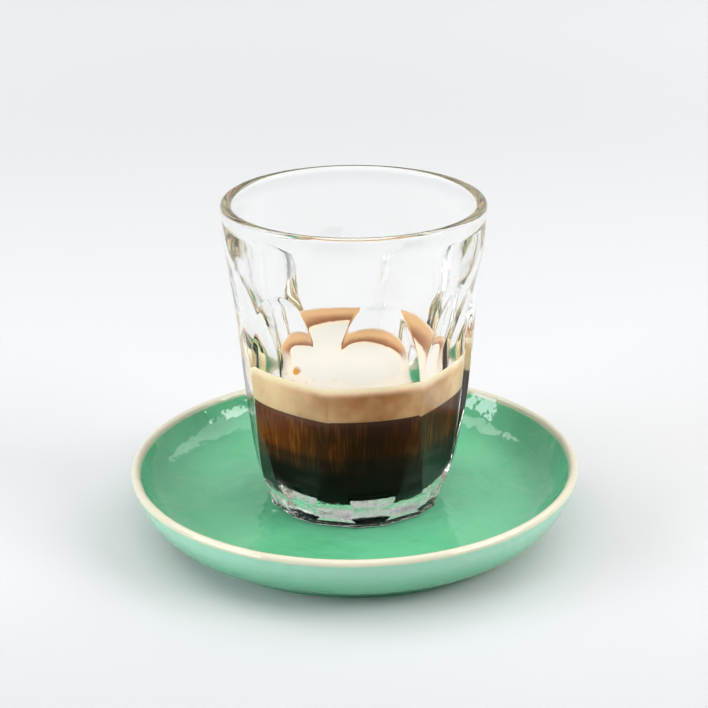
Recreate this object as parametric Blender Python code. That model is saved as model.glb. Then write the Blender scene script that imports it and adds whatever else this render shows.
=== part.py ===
"""Long macchiato: a fluted tumbler of coffee, crema and milk foam on a round saucer.

A Blender 4.5 script in metres, +Z up. The origin is the middle of the saucer's foot, on the
table, and -Y is the side that the viewer faces. Heights inside the tumbler are counted from
the tumbler's underside.
"""

import math

import bmesh
import bpy
import numpy as np
from mathutils import Matrix

MM = 0.001
GAP = 0.3 * MM

# Saucer
SAUCER_SEGMENTS = 64
WELL_HEIGHT = 8.0 * MM
FOOT_INNER_RADIUS = 45.8 * MM
FOOT_OUTER_RADIUS = 49.0 * MM
FOOT_DEPTH = 2.0 * MM
FOOT_DRAFT = 0.6 * MM
SAUCER_LIP_RADIUS = 1.25 * MM
SAUCER_LIP_CENTRE = (61.85 * MM, 17.1 * MM)
SAUCER_LIP_STEPS = 5
WELL_FLAT_RADIUS = 46.0 * MM
INNER_WALL = ((58.7 * MM, 13.6 * MM), (56.3 * MM, 10.7 * MM), (52.6 * MM, 8.8 * MM))
OUTER_WALL = ((61.5 * MM, 12.6 * MM), (58.6 * MM, 7.7 * MM), (54.6 * MM, 4.1 * MM))

# Tumbler
GLASS_BASE = WELL_HEIGHT + GAP
GLASS_SEGMENTS = 48
GLASS_HEIGHT = 86.3 * MM
GLASS_LIP_RADIUS = 1.35 * MM
GLASS_RIM_RADIUS = 36.0 * MM
LIP_STEPS = 6
UNDERSIDE = ((0.0, 1.0 * MM), (13.0 * MM, 0.8 * MM), (20.5 * MM, 0.0), (24.0 * MM, 0.0))
OUTER_STATIONS = (
    (0.8 * MM, 24.8 * MM),
    (2.4 * MM, 24.9 * MM),
    (5.2 * MM, 25.9 * MM),
    (7.6 * MM, 27.3 * MM),
    (12.3 * MM, 28.5 * MM),
    (21.4 * MM, 30.0 * MM),
    (30.0 * MM, 31.6 * MM),
    (43.0 * MM, 32.8 * MM),
    (58.0 * MM, 33.7 * MM),
    (62.0 * MM, 33.95 * MM),
    (67.0 * MM, 34.3 * MM),
    (73.0 * MM, 35.1 * MM),
    (78.0 * MM, 35.6 * MM),
    (84.95 * MM, 36.0 * MM),
)
OUTER_EXTRA_HEIGHTS = (3.8 * MM, 6.4 * MM, 9.6 * MM, 16.5 * MM, 36.5 * MM, 50.5 * MM, 70.0 * MM)
INNER_FLOOR = 7.0 * MM
INNER_STATIONS = (
    (13.0 * MM, 22.0 * MM),
    (28.0 * MM, 23.5 * MM),
    (41.0 * MM, 25.1 * MM),
    (60.0 * MM, 28.7 * MM),
    (80.0 * MM, 32.8 * MM),
    (84.95 * MM, 33.3 * MM),
)
INNER_EXTRA_HEIGHTS = (20.0 * MM, 34.0 * MM, 50.0 * MM, 70.0 * MM)
INNER_CORNER_STEPS = 4

# Flutes
FLUTES = 8
FIRST_FLUTE_AZIMUTH = math.radians(10.4)
CUTTER_HALF_WIDTH = 14.0 * MM
CUTTER_OUTSIDE = 42.0 * MM
LEAST_FLUTE_HALF_WIDTH = 1.5 * MM
FLUTE_STATIONS = (
    (-1.0 * MM, 24.5 * MM),
    (2.4 * MM, 24.62 * MM),
    (5.2 * MM, 25.5 * MM),
    (7.6 * MM, 26.75 * MM),
    (12.3 * MM, 27.5 * MM),
    (25.0 * MM, 28.9 * MM),
    (34.0 * MM, 29.65 * MM),
    (43.0 * MM, 30.5 * MM),
    (51.0 * MM, 31.35 * MM),
    (60.0 * MM, 32.75 * MM),
    (63.5 * MM, 33.37 * MM),
    (66.0 * MM, 33.84 * MM),
    (68.2 * MM, 34.35 * MM),
    (71.5 * MM, 36.2 * MM),
)
HOLLOW_STATIONS = (
    (-1.0 * MM, 0.15 * MM),
    (12.3 * MM, 0.3 * MM),
    (34.0 * MM, 0.3 * MM),
    (45.0 * MM, 0.8 * MM),
    (52.0 * MM, 1.7 * MM),
    (57.0 * MM, 1.3 * MM),
    (62.0 * MM, 0.85 * MM),
    (66.0 * MM, 0.45 * MM),
    (68.2 * MM, 0.0),
    (71.5 * MM, 0.0),
)
FLUTE_EXTRA_HEIGHTS = (3.8 * MM, 9.6 * MM, 18.0 * MM, 47.0 * MM, 55.5 * MM)
FLUTE_SHARES = (-1.0, -0.5, 0.0, 0.5, 1.0)

# Drink
COFFEE_TOP = 32.05 * MM
CREMA_TOP = 41.6 * MM
FOAM_RADIUS = 21.3 * MM
FOAM_SINK = 1.8 * MM
FOAM_DOME = 0.3 * MM
EDGE_ROUND = 0.5 * MM

SHARP_ANGLE = math.radians(28.0)
WELD = 0.001 * MM


def clear_scene():
    """Removes every object, so that the script can run again in an open file."""
    for item in list(bpy.data.objects):
        bpy.data.objects.remove(item, do_unlink=True)


def finish(name, color, roughness, transmission=0.0, coat=0.0):
    """A plain Principled material of one colour."""
    material = bpy.data.materials.new(name)
    material.use_nodes = True
    shader = material.node_tree.nodes["Principled BSDF"]
    shader.inputs["Base Color"].default_value = (*color, 1.0)
    shader.inputs["Roughness"].default_value = roughness
    shader.inputs["Metallic"].default_value = 0.0
    shader.inputs["Transmission Weight"].default_value = transmission
    shader.inputs["Coat Weight"].default_value = coat
    return material


def radius_at(stations, heights):
    """Radii at the heights, on a cubic curve through the stations with no overshoot."""
    knots = np.array([station[0] for station in stations])
    radii = np.array([station[1] for station in stations])
    steps = np.diff(knots)
    rises = np.diff(radii) / steps
    slopes = np.empty_like(radii)
    slopes[0], slopes[-1] = rises[0], rises[-1]
    before, after = rises[:-1], rises[1:]
    same_way = before * after > 0.0
    harmonic = 2.0 * before * after / np.where(same_way, before + after, 1.0)
    slopes[1:-1] = np.where(same_way, harmonic, 0.0)
    heights = np.clip(np.asarray(heights, dtype=float), knots[0], knots[-1])
    low = np.clip(np.searchsorted(knots, heights, side="right") - 1, 0, len(steps) - 1)
    span = steps[low]
    t = (heights - knots[low]) / span
    return (
        radii[low] * (1.0 + 2.0 * t) * (1.0 - t) ** 2
        + span * slopes[low] * t * (1.0 - t) ** 2
        + radii[low + 1] * t**2 * (3.0 - 2.0 * t)
        + span * slopes[low + 1] * t**2 * (t - 1.0)
    )


def station_heights(stations, extra):
    """The stations' heights and the extra ones, from low to high."""
    return sorted({station[0] for station in stations} | set(extra))


def arc(centre, radius, start, end, steps):
    """Points on an arc in the (radius, height) plane, both ends included."""
    return [
        (centre[0] + radius * math.cos(angle), centre[1] + radius * math.sin(angle))
        for angle in np.linspace(start, end, steps + 1)
    ]


def turned(name, outline, segments, material, base=0.0, start_angle=0.0):
    """Turns an outline of (radius, height) points, from axis to axis, into a closed body."""
    shell = bmesh.new()
    verts = [shell.verts.new((radius, 0.0, height + base)) for radius, height in outline]
    edges = [shell.edges.new(pair) for pair in zip(verts, verts[1:])]
    turn = Matrix.Rotation(start_angle, 4, "Z")
    bmesh.ops.transform(shell, matrix=turn, verts=shell.verts)
    bmesh.ops.spin(
        shell,
        geom=verts + edges,
        cent=(0.0, 0.0, 0.0),
        axis=(0.0, 0.0, 1.0),
        angle=math.tau,
        steps=segments,
        use_merge=True,
    )
    bmesh.ops.remove_doubles(shell, verts=shell.verts, dist=WELD)
    bmesh.ops.recalc_face_normals(shell, faces=shell.faces)
    return add_object(name, shell, material)


def add_object(name, shell, material):
    """Puts a bmesh into a smooth-shaded object of its own."""
    mesh = bpy.data.meshes.new(name)
    shell.to_mesh(mesh)
    shell.free()
    mesh.shade_smooth()
    mesh.set_sharp_from_angle(angle=SHARP_ANGLE)
    if material:
        mesh.materials.append(material)
    item = bpy.data.objects.new(name, mesh)
    bpy.context.scene.collection.objects.link(item)
    return item


def saucer_outline():
    """From the well's middle up the inner wall, over the lip, down to the foot and back."""
    start, end = math.radians(155.0), math.radians(-20.0)
    lip = arc(SAUCER_LIP_CENTRE, SAUCER_LIP_RADIUS, start, end, SAUCER_LIP_STEPS)
    underside = FOOT_DEPTH + FOOT_DRAFT
    foot = [
        (FOOT_OUTER_RADIUS + FOOT_DRAFT, FOOT_DEPTH),
        (FOOT_OUTER_RADIUS, 0.0),
        (FOOT_INNER_RADIUS, 0.0),
        (FOOT_INNER_RADIUS - FOOT_DRAFT, FOOT_DEPTH),
    ]
    well = [(0.0, WELL_HEIGHT), (WELL_FLAT_RADIUS, WELL_HEIGHT)]
    return well + list(reversed(INNER_WALL)) + lip + list(OUTER_WALL) + foot + [
        (FOOT_INNER_RADIUS - 3.0 * FOOT_DRAFT, underside),
        (0.0, underside),
    ]


def inner_wall(inset=0.0, low=INNER_FLOOR, high=None):
    """The tumbler's hollow from its floor's middle upwards, drawn in by an inset."""
    corner_height, corner_radius = INNER_STATIONS[0]
    rise = corner_height - INNER_FLOOR
    reach = rise * 1.25
    corner = [
        (corner_radius - inset - reach * (1.0 - math.cos(angle)), corner_height - rise * math.sin(angle))
        for angle in np.linspace(math.pi / 2.0, 0.0, INNER_CORNER_STEPS + 1)
    ]
    corner = [(radius, height + inset) for radius, height in corner]
    heights = [h for h in station_heights(INNER_STATIONS, INNER_EXTRA_HEIGHTS) if h > corner_height]
    wall = [(float(radius_at(INNER_STATIONS, h)) - inset, h) for h in heights]
    points = corner + wall
    if high is not None:
        points = [point for point in points if point[1] < high - EDGE_ROUND]
    return [point for point in points if point[1] >= low]


def glass_outline():
    """From the underside's middle out to the foot, up the wall, over the lip and down inside."""
    heights = station_heights(OUTER_STATIONS, OUTER_EXTRA_HEIGHTS)
    radii = radius_at(OUTER_STATIONS, heights)
    outside = list(zip(radii.tolist(), heights))
    lip_centre = (GLASS_RIM_RADIUS - GLASS_LIP_RADIUS, GLASS_HEIGHT - GLASS_LIP_RADIUS)
    lip = arc(lip_centre, GLASS_LIP_RADIUS, 0.0, math.pi, LIP_STEPS)
    inside = list(reversed(inner_wall()))[1:]
    return list(UNDERSIDE) + outside[:-1] + lip + inside + [(0.0, INNER_FLOOR)]


def flute_row(height):
    """A flute's bed at one height, from side to side: flat, and hollowed between its edges.

    The hollow is a parabola across the flute, deepest in the middle and nothing at the edges.
    """
    bed = float(radius_at(FLUTE_STATIONS, height))
    body = float(radius_at(OUTER_STATIONS, height))
    half = math.sqrt(max(body**2 - bed**2, LEAST_FLUTE_HALF_WIDTH**2))
    hollow = float(radius_at(HOLLOW_STATIONS, height))
    middle = [(share * half, hollow * (1.0 - share**2) - bed, height) for share in FLUTE_SHARES]
    return [(-CUTTER_HALF_WIDTH, -bed, height), *middle, (CUTTER_HALF_WIDTH, -bed, height)]


def flute_cutter(index, holder):
    """A bar whose inner side is one flute's bed and whose other sides stand clear of the glass."""
    heights = station_heights(FLUTE_STATIONS, FLUTE_EXTRA_HEIGHTS)
    shell = bmesh.new()
    rows = []
    for height in heights:
        rows.append([shell.verts.new((x, y, z + GLASS_BASE)) for x, y, z in flute_row(height)])
    sides = (-CUTTER_HALF_WIDTH, CUTTER_HALF_WIDTH)
    backs = []
    for height in (heights[0], heights[-1]):
        backs.append([shell.verts.new((x, -CUTTER_OUTSIDE, height + GLASS_BASE)) for x in sides])
    for low, high in zip(rows, rows[1:]):
        for corner in range(len(low) - 1):
            shell.faces.new((low[corner], low[corner + 1], high[corner + 1], high[corner]))
    shell.faces.new([*rows[0], backs[0][1], backs[0][0]])
    shell.faces.new([*rows[-1], backs[1][1], backs[1][0]])
    shell.faces.new([row[0] for row in rows] + [backs[1][0], backs[0][0]])
    shell.faces.new([row[-1] for row in rows] + [backs[1][1], backs[0][1]])
    shell.faces.new((backs[0][0], backs[0][1], backs[1][1], backs[1][0]))
    azimuth = FIRST_FLUTE_AZIMUTH + index * math.tau / FLUTES
    bmesh.ops.transform(shell, matrix=Matrix.Rotation(azimuth, 4, "Z"), verts=shell.verts)
    bmesh.ops.recalc_face_normals(shell, faces=shell.faces)
    cutter = add_object(f"flute_cutter_{index + 1}", shell, None)
    bpy.context.scene.collection.objects.unlink(cutter)
    holder.objects.link(cutter)
    cutter.hide_render = True
    cutter.display_type = "WIRE"


def make_saucer():
    """The turned saucer with its round lip and foot ring."""
    glaze = finish("green_glaze", (0.155, 0.472, 0.262), 0.12, coat=0.5)
    return turned("saucer", saucer_outline(), SAUCER_SEGMENTS, glaze)


def make_glass():
    """The turned tumbler, with the flutes cut into its outside."""
    clear = finish("clear_glass", (0.96, 0.98, 0.97), 0.02, transmission=1.0)
    glass = turned("glass", glass_outline(), GLASS_SEGMENTS, clear, GLASS_BASE, FIRST_FLUTE_AZIMUTH)
    holder = bpy.data.collections.new("flute_cutters")
    bpy.context.scene.collection.children.link(holder)
    for index in range(FLUTES):
        flute_cutter(index, holder)
    cut = glass.modifiers.new("flutes", "BOOLEAN")
    cut.operation = "DIFFERENCE"
    cut.operand_type = "COLLECTION"
    cut.collection = holder
    cut.solver = "EXACT"
    cut.use_self = True
    return glass


def make_coffee():
    """The dark coffee, from just above the tumbler's floor to just under the crema."""
    wall = inner_wall(inset=GAP, high=COFFEE_TOP)
    floor = [(0.0, INNER_FLOOR + GAP)]
    edge = float(radius_at(INNER_STATIONS, COFFEE_TOP)) - GAP
    top = [(edge, COFFEE_TOP), (0.0, COFFEE_TOP)]
    brown = finish("dark_coffee", (0.018, 0.007, 0.004), 0.15)
    return turned("coffee", floor + wall + top, GLASS_SEGMENTS, brown, GLASS_BASE, FIRST_FLUTE_AZIMUTH)


def make_crema():
    """The tan layer on the coffee, with a shallow seat in its top for the milk foam."""
    bottom = COFFEE_TOP + GAP
    seat_radius = FOAM_RADIUS + GAP
    seat_height = CREMA_TOP - FOAM_SINK
    low_edge = float(radius_at(INNER_STATIONS, bottom)) - GAP
    high_edge = float(radius_at(INNER_STATIONS, CREMA_TOP)) - GAP
    wall = inner_wall(inset=GAP, low=bottom + EDGE_ROUND, high=CREMA_TOP)
    outline = [(0.0, bottom), (low_edge, bottom)] + wall
    outline += [(high_edge - 0.1 * EDGE_ROUND, CREMA_TOP - EDGE_ROUND), (high_edge - EDGE_ROUND, CREMA_TOP)]
    outline += [(seat_radius, CREMA_TOP), (seat_radius, seat_height), (0.0, seat_height)]
    tan = finish("tan_crema", (0.48, 0.27, 0.12), 0.5)
    return turned("crema", outline, GLASS_SEGMENTS, tan, GLASS_BASE, FIRST_FLUTE_AZIMUTH)


def make_milk_foam():
    """The white foam, a low round cushion that sits in the crema's top."""
    bottom = CREMA_TOP - FOAM_SINK + GAP
    outline = [
        (0.0, bottom),
        (FOAM_RADIUS, bottom),
        (FOAM_RADIUS, CREMA_TOP - EDGE_ROUND),
        (FOAM_RADIUS - EDGE_ROUND, CREMA_TOP),
        (0.6 * FOAM_RADIUS, CREMA_TOP + 0.7 * FOAM_DOME),
        (0.0, CREMA_TOP + FOAM_DOME),
    ]
    white = finish("white_foam", (0.87, 0.80, 0.68), 0.6)
    return turned("milk_foam", outline, GLASS_SEGMENTS, white, GLASS_BASE, FIRST_FLUTE_AZIMUTH)


def main():
    """Makes the saucer, the tumbler and the three layers of the drink."""
    clear_scene()
    make_saucer()
    make_glass()
    make_coffee()
    make_crema()
    make_milk_foam()


main()
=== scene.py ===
"""Looks of a short layered coffee in a fluted tumbler on a green saucer.

A Blender 4.5 script, in metres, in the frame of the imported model: the origin is the middle of the
saucer's foot, +Z is up and -Y faces the viewer. Heights in the tumbler and in the drink are
counted from the tumbler's underside, and all others from the floor. An azimuth turns from the
front, -Y, towards the viewer's right, +X.
"""

from __future__ import annotations

import logging
import math
from dataclasses import dataclass
from typing import Any, Sequence

import bpy
import numpy as np
from mathutils import Euler, Matrix, Vector

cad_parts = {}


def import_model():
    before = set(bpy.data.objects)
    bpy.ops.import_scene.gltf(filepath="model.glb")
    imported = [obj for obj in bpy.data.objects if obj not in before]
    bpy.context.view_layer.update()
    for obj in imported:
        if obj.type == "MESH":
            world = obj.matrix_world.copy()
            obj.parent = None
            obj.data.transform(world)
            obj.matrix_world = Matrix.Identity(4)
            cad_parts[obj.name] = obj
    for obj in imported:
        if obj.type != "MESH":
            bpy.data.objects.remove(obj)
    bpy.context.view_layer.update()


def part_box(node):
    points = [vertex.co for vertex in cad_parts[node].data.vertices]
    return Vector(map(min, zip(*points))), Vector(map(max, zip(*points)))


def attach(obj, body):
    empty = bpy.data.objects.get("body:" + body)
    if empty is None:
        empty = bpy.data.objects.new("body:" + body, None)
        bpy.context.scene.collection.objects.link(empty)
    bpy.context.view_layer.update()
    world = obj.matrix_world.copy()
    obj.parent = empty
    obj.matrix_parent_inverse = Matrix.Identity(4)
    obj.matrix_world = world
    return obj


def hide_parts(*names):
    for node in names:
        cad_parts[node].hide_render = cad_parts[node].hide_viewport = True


LOG = logging.getLogger("layered_coffee")

MM = 0.001
TURN = 2.0 * math.pi
LIGHT_BOUNCES = 24

Floats = np.ndarray
Span = tuple[float, float]
Triple = tuple[float, float, float]
Stations = Sequence[Span]
Color = Triple
Socket = bpy.types.NodeSocket
Node = bpy.types.Node
Piece = bpy.types.Object
Material = bpy.types.Material


def paint(red: int, green: int, blue: int) -> Color:
    """Turns a screen colour into linear light.

    Args:
        red: Red from 0 to 255.
        green: Green from 0 to 255.
        blue: Blue from 0 to 255.

    Returns:
        The linear colour.
    """
    shares = (red / 255.0, green / 255.0, blue / 255.0)
    return tuple(s / 12.92 if s <= 0.04045 else ((s + 0.055) / 1.055) ** 2.4 for s in shares)


def in_mm(*rows: tuple[float, ...]) -> tuple[tuple[float, ...], ...]:
    """Turns rows of lengths in millimetres into metres."""
    return tuple(tuple(length * MM for length in row) for row in rows)


def smooth_step(low: float, high: float, values: Floats) -> Floats:
    """Rises from 0 at low to 1 at high along 3t^2 - 2t^3, with t the share of the way."""
    share = np.clip((np.asarray(values, float) - low) / (high - low), 0.0, 1.0)
    return share * share * (3.0 - 2.0 * share)


def radius_at(curve: Stations, heights: Floats) -> Floats:
    """Reads a cubic curve through the stations, with no overshoot between them.

    Between two stations the curve is the Hermite cubic, and its slope at a station is the
    harmonic mean of the slopes on both sides, or 0 where they point opposite ways.

    Args:
        curve: Stations, pairs of height and radius, from low to high.
        heights: The heights to read.

    Returns:
        The radius at each height.
    """
    knots, radii = np.array(curve, float).T
    steps = np.diff(knots)
    rises = np.diff(radii) / steps
    slopes = np.empty_like(radii)
    slopes[0], slopes[-1] = rises[0], rises[-1]
    before, after = rises[:-1], rises[1:]
    same_way = before * after > 0.0
    harmonic = 2.0 * before * after / np.where(same_way, before + after, 1.0)
    slopes[1:-1] = np.where(same_way, harmonic, 0.0)
    heights = np.clip(np.asarray(heights, float), knots[0], knots[-1])
    low = np.clip(np.searchsorted(knots, heights, side="right") - 1, 0, len(steps) - 1)
    step = steps[low]
    t = (heights - knots[low]) / step
    return (
        radii[low] * (1.0 + 2.0 * t) * (1.0 - t) ** 2
        + step * slopes[low] * t * (1.0 - t) ** 2
        + radii[low + 1] * t**2 * (3.0 - 2.0 * t)
        + step * slopes[low + 1] * t**2 * (t - 1.0)
    )


def bands(*spans: tuple[float, float, int]) -> Floats:
    """Joins evenly spaced stretches, each (start, end, steps), into one list."""
    parts = [np.linspace(start, end, steps, endpoint=False) for start, end, steps in spans]
    return np.concatenate(parts + [np.array([spans[-1][1]])])


def azimuths(segments: int) -> Floats:
    """Even azimuths round the axis, from the front."""
    return np.arange(segments) * TURN / segments


def place(radii: Floats, heights: Floats, turns: Floats) -> Floats:
    """Puts radii and heights at azimuths: x is r sin(a), y is -r cos(a), z is the height.

    Args:
        radii: Radii, rows by segments or what spreads to that.
        heights: Heights, likewise.
        turns: The azimuth of each segment, one row for all or one for each.

    Returns:
        Points, rows by segments by three.
    """
    radii, heights, turns = np.broadcast_arrays(radii, heights, np.atleast_2d(turns))
    return np.stack([radii * np.sin(turns), -radii * np.cos(turns), heights], axis=-1)


def off_axis(points: Floats, middle: Span = (0.0, 0.0)) -> Floats:
    """The level distance of each point from the upright line through the middle."""
    return np.hypot(points[..., 0] - middle[0], points[..., 1] - middle[1])


def wavy(points: Floats, lengths: Span, count: int, seed: int) -> Floats:
    """A soft uneven field about 0: the mean of cosines along random ways, times the root of 2.

    Args:
        points: Points, with three numbers on the last axis.
        lengths: The shortest and longest wave.
        count: How many cosines are added.
        seed: The seed of the random draw.

    Returns:
        One value for each point.
    """
    draw = np.random.default_rng(seed)
    ways = draw.normal(size=(count, 3))
    ways /= np.linalg.norm(ways, axis=1, keepdims=True)
    ways *= TURN / draw.uniform(lengths[0], lengths[1], size=(count, 1))
    phases = draw.uniform(0.0, TURN, size=count)
    return np.cos(points @ ways.T + phases).mean(axis=-1) * math.sqrt(2.0)


def outward_faces(points: Floats, rows: int, segments: int) -> tuple[Floats, Floats]:
    """Joins a grid of points, and the two end points that follow it, into closed faces.

    Ring i is joined to ring i + 1 by four-sided faces, and the first and last rings to the end
    points by triangles. The faces are turned outwards by the sign of the enclosed volume.

    Args:
        points: The grid's points in a row, then the two end points.
        rows: How many rings there are.
        segments: How many points a ring has.

    Returns:
        The four-sided faces and the triangles, as indices of points.
    """
    index = np.arange(rows * segments).reshape(rows, segments)
    beside = np.roll(index, -1, axis=1)
    quads = np.stack([index[:-1], beside[:-1], beside[1:], index[1:]], axis=-1).reshape(-1, 4)
    ends = np.full(segments, rows * segments)
    low_fan = np.stack([beside[0], index[0], ends], axis=-1)
    high_fan = np.stack([index[-1], beside[-1], ends + 1], axis=-1)
    fans = np.concatenate([low_fan, high_fan])
    a, b, c, d = (points[quads[:, i]].astype(float) for i in range(4))
    volumes = np.einsum("ij,ij->i", a, np.cross(b, c) + np.cross(c, d))
    if volumes.sum() < 0.0:
        quads, fans = quads[:, ::-1], fans[:, ::-1]
    return quads, fans


def closed_surface(
    name: str,
    rings: Floats,
    first: Sequence[float],
    last: Sequence[float],
    marks: dict[str, Floats] | None = None,
) -> Piece:
    """Makes a closed skin from rings of points and a point at each end.

    Args:
        name: The piece's name.
        rings: Points, rings by segments by three.
        first: The point that closes the first ring.
        last: The point that closes the last ring.
        marks: Values to keep on the points, each rings by segments, by attribute name.

    Returns:
        The object, shaded smooth.
    """
    points = np.concatenate([rings.reshape(-1, 3), [first, last]]).astype(np.float32)
    quads, fans = outward_faces(points, *rings.shape[:2])
    mesh = bpy.data.meshes.new(name)
    mesh.vertices.add(len(points))
    mesh.vertices.foreach_set("co", points.ravel())
    corners = np.concatenate([quads.ravel(), fans.ravel()]).astype(np.int32)
    mesh.loops.add(len(corners))
    mesh.loops.foreach_set("vertex_index", corners)
    starts = np.concatenate([np.arange(len(quads)) * 4, quads.size + np.arange(len(fans)) * 3])
    mesh.polygons.add(len(starts))
    mesh.polygons.foreach_set("loop_start", starts.astype(np.int32))
    for mark, values in (marks or {}).items():
        layer = mesh.attributes.new(mark, "FLOAT", "POINT")
        flat = np.concatenate([values.ravel(), [values[0].mean(), values[-1].mean()]])
        layer.data.foreach_set("value", flat.astype(np.float32))
    mesh.update(calc_edges=True)
    mesh.validate()
    mesh.shade_smooth()
    item = bpy.data.objects.new(name, mesh)
    bpy.context.scene.collection.objects.link(item)
    return item


def hand_over(piece: Piece, material: Material, slot: str, *nodes: str) -> None:
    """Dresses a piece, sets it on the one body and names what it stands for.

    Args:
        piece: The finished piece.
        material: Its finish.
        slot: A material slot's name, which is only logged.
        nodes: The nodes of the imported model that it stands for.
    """
    piece.data.materials.append(material)
    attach(piece, "root")
    if nodes:
        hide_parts(*nodes)
    LOG.info("%s: %d faces, slot %s, for %s", piece.name, len(piece.data.polygons), slot, nodes)


class Tree:
    """A node tree with short calls to add and join nodes."""

    def __init__(self, tree: bpy.types.NodeTree) -> None:
        """Wraps a node tree."""
        self.tree = tree

    def feed(self, socket: Socket, source: Any) -> None:
        """Links a socket from another socket, or sets it to a value."""
        if isinstance(source, Socket):
            self.tree.links.new(source, socket)
        elif isinstance(source, tuple) and len(source) == 3 and socket.type == "RGBA":
            socket.default_value = (*source, 1.0)
        else:
            socket.default_value = source

    def add(self, kind: str, settings: dict[str, Any] | None = None, **inputs: Any) -> Node:
        """Adds a node.

        Args:
            kind: The node's type name.
            settings: Its properties.
            inputs: Its inputs by name, with _ for a space.

        Returns:
            The node.
        """
        node = self.tree.nodes.new(kind)
        for key, value in (settings or {}).items():
            setattr(node, key, value)
        for key, source in inputs.items():
            self.feed(node.inputs[key.replace("_", " ")], source)
        return node

    def math(self, operation: str, first: Any, second: Any = 0.0) -> Socket:
        """One Math node on two values."""
        node = self.add("ShaderNodeMath", {"operation": operation})
        self.feed(node.inputs[0], first)
        self.feed(node.inputs[1], second)
        return node.outputs[0]

    def plus(self, first: Any, second: Any) -> Socket:
        """The sum of two values."""
        return self.math("ADD", first, second)

    def minus(self, first: Any, second: Any) -> Socket:
        """The first value less the second."""
        return self.math("SUBTRACT", first, second)

    def times(self, first: Any, second: Any) -> Socket:
        """The product of two values."""
        return self.math("MULTIPLY", first, second)

    def mix(self, share: Any, first: Any, second: Any) -> Socket:
        """Mixes two colours by a share."""
        node = self.add("ShaderNodeMix", {"data_type": "RGBA"})
        self.feed(node.inputs[0], share)
        self.feed(node.inputs[6], first)
        self.feed(node.inputs[7], second)
        return node.outputs[2]

    def span(
        self, value: Any, start: float, end: float, low: Any = 0.0, high: Any = 1.0
    ) -> Socket:
        """Maps a value smoothly from start..end to low..high, clamped."""
        node = self.add(
            "ShaderNodeMapRange", {"interpolation_type": "SMOOTHSTEP"},
            Value=value, From_Min=start, From_Max=end, To_Min=low, To_Max=high,
        )
        return node.outputs["Result"]

    def mark(self, name: str) -> Socket:
        """Reads a value kept on the piece's points."""
        return self.add("ShaderNodeAttribute", {"attribute_name": name}).outputs["Fac"]

    def position(self) -> Socket:
        """The point's own place in the piece."""
        return self.add("ShaderNodeTexCoord").outputs["Object"]

    def part(self, vector: Any, axis: str) -> Socket:
        """One number of a vector, by its axis."""
        return self.add("ShaderNodeSeparateXYZ", Vector=vector).outputs[axis]

    def drawn_up(self, vector: Any, share: float) -> Socket:
        """Shrinks a place's height to a share, so that a pattern on it runs upwards."""
        node = self.add("ShaderNodeMapping", Vector=vector, Scale=(1.0, 1.0, share))
        return node.outputs["Vector"]


class GroupMaker:
    """Makes each shared node group once."""

    @staticmethod
    def open(
        name: str, inputs: dict[str, float | None], outputs: Sequence[str]
    ) -> tuple[Tree, Node, Node]:
        """Opens a new group with named sockets.

        Args:
            name: The group's name.
            inputs: Each input's default by name, or None for a vector.
            outputs: The names of the outputs, each a number.

        Returns:
            The tree, its input node and its output node.
        """
        group = bpy.data.node_groups.new(name, "ShaderNodeTree")
        for label, default in inputs.items():
            kind = "NodeSocketVector" if default is None else "NodeSocketFloat"
            socket = group.interface.new_socket(label, in_out="INPUT", socket_type=kind)
            if default is not None:
                socket.default_value = default
        for label in outputs:
            group.interface.new_socket(label, in_out="OUTPUT", socket_type="NodeSocketFloat")
        tree = Tree(group)
        return tree, tree.add("NodeGroupInput"), tree.add("NodeGroupOutput")

    @classmethod
    def drift(cls) -> bpy.types.NodeTree:
        """Slow uneven tone: soft noise spread between Low and High."""
        name = "soft_drift"
        if name in bpy.data.node_groups:
            return bpy.data.node_groups[name]
        inputs = {"Vector": None, "Scale": 40.0, "Low": 0.0, "High": 1.0}
        tree, given, made = cls.open(name, inputs, ["Value"])
        vector, scale, low, high = (given.outputs[label] for label in inputs)
        noise = tree.add("ShaderNodeTexNoise", Vector=vector, Scale=scale, Detail=3.0)
        tree.feed(made.inputs["Value"], tree.span(noise.outputs["Fac"], 0.3, 0.7, low, high))
        return tree.tree

    @classmethod
    def froth(cls) -> bpy.types.NodeTree:
        """Fine froth: rounded cells, a share of them open, as a height and as a mask of pits."""
        name = "fine_froth"
        if name in bpy.data.node_groups:
            return bpy.data.node_groups[name]
        inputs = {"Vector": None, "Scale": 2500.0, "Share": 0.2}
        tree, given, made = cls.open(name, inputs, ["Height", "Pits"])
        vector, scale, share = (given.outputs[label] for label in inputs)
        cells = tree.add("ShaderNodeTexVoronoi", Vector=vector, Scale=scale)
        bowl = tree.span(cells.outputs["Distance"], 0.0, 0.45)
        pick = tree.add("ShaderNodeSeparateColor", Color=cells.outputs["Color"]).outputs[0]
        pits = tree.times(tree.minus(1.0, bowl), tree.math("LESS_THAN", pick, share))
        fine = tree.add("ShaderNodeTexNoise", Vector=vector, Scale=scale, Detail=2.0)
        tree.feed(made.inputs["Height"], tree.minus(tree.times(fine.outputs["Fac"], 0.5), pits))
        tree.feed(made.inputs["Pits"], pits)
        return tree.tree


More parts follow.
